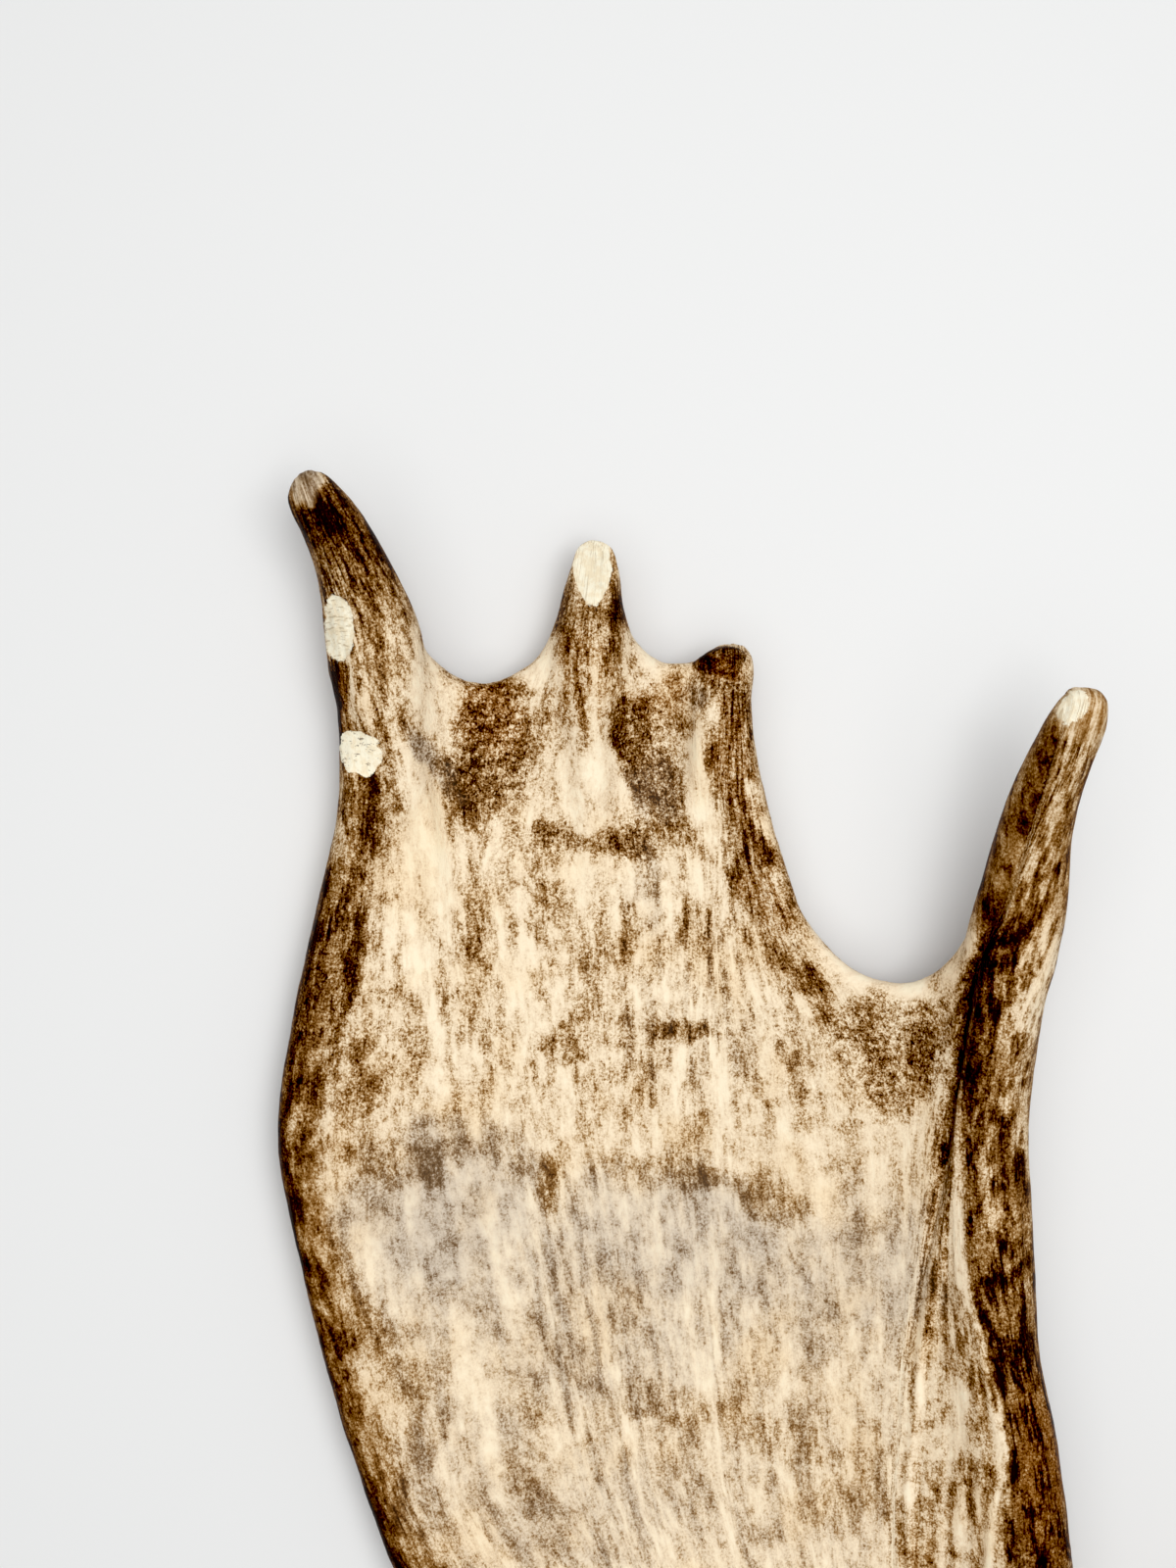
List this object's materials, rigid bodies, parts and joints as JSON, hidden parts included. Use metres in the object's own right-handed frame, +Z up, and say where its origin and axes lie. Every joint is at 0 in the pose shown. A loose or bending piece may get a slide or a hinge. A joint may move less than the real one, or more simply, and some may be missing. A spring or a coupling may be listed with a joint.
{
  "type": "moose antler",
  "caption": "Shed moose antler: a broad dished palm with worn, gnawed points along its edge, a round beam and a knobbly burr.",
  "frame": {"origin": "on the floor, under the middle of the antler's bounding box, with the antler lying on its convex back", "axes": "+Y from the burr towards the points, +X towards the front edge with the brow point, +Z up out of the dish"},
  "size_m": [0.3776, 0.6828, 0.0993],
  "materials": {
    "beam": "satin",
    "palm": "satin",
    "rear_tine": "satin",
    "middle_tine": "satin",
    "front_tine": "satin",
    "brow_tine": "satin"
  },
  "bodies": {
    "root": {"beam": "beam", "palm": "palm", "rear_tine": "rear_tine", "middle_tine": "middle_tine", "front_tine": "front_tine", "brow_tine": "brow_tine"}
  },
  "joints": []
}
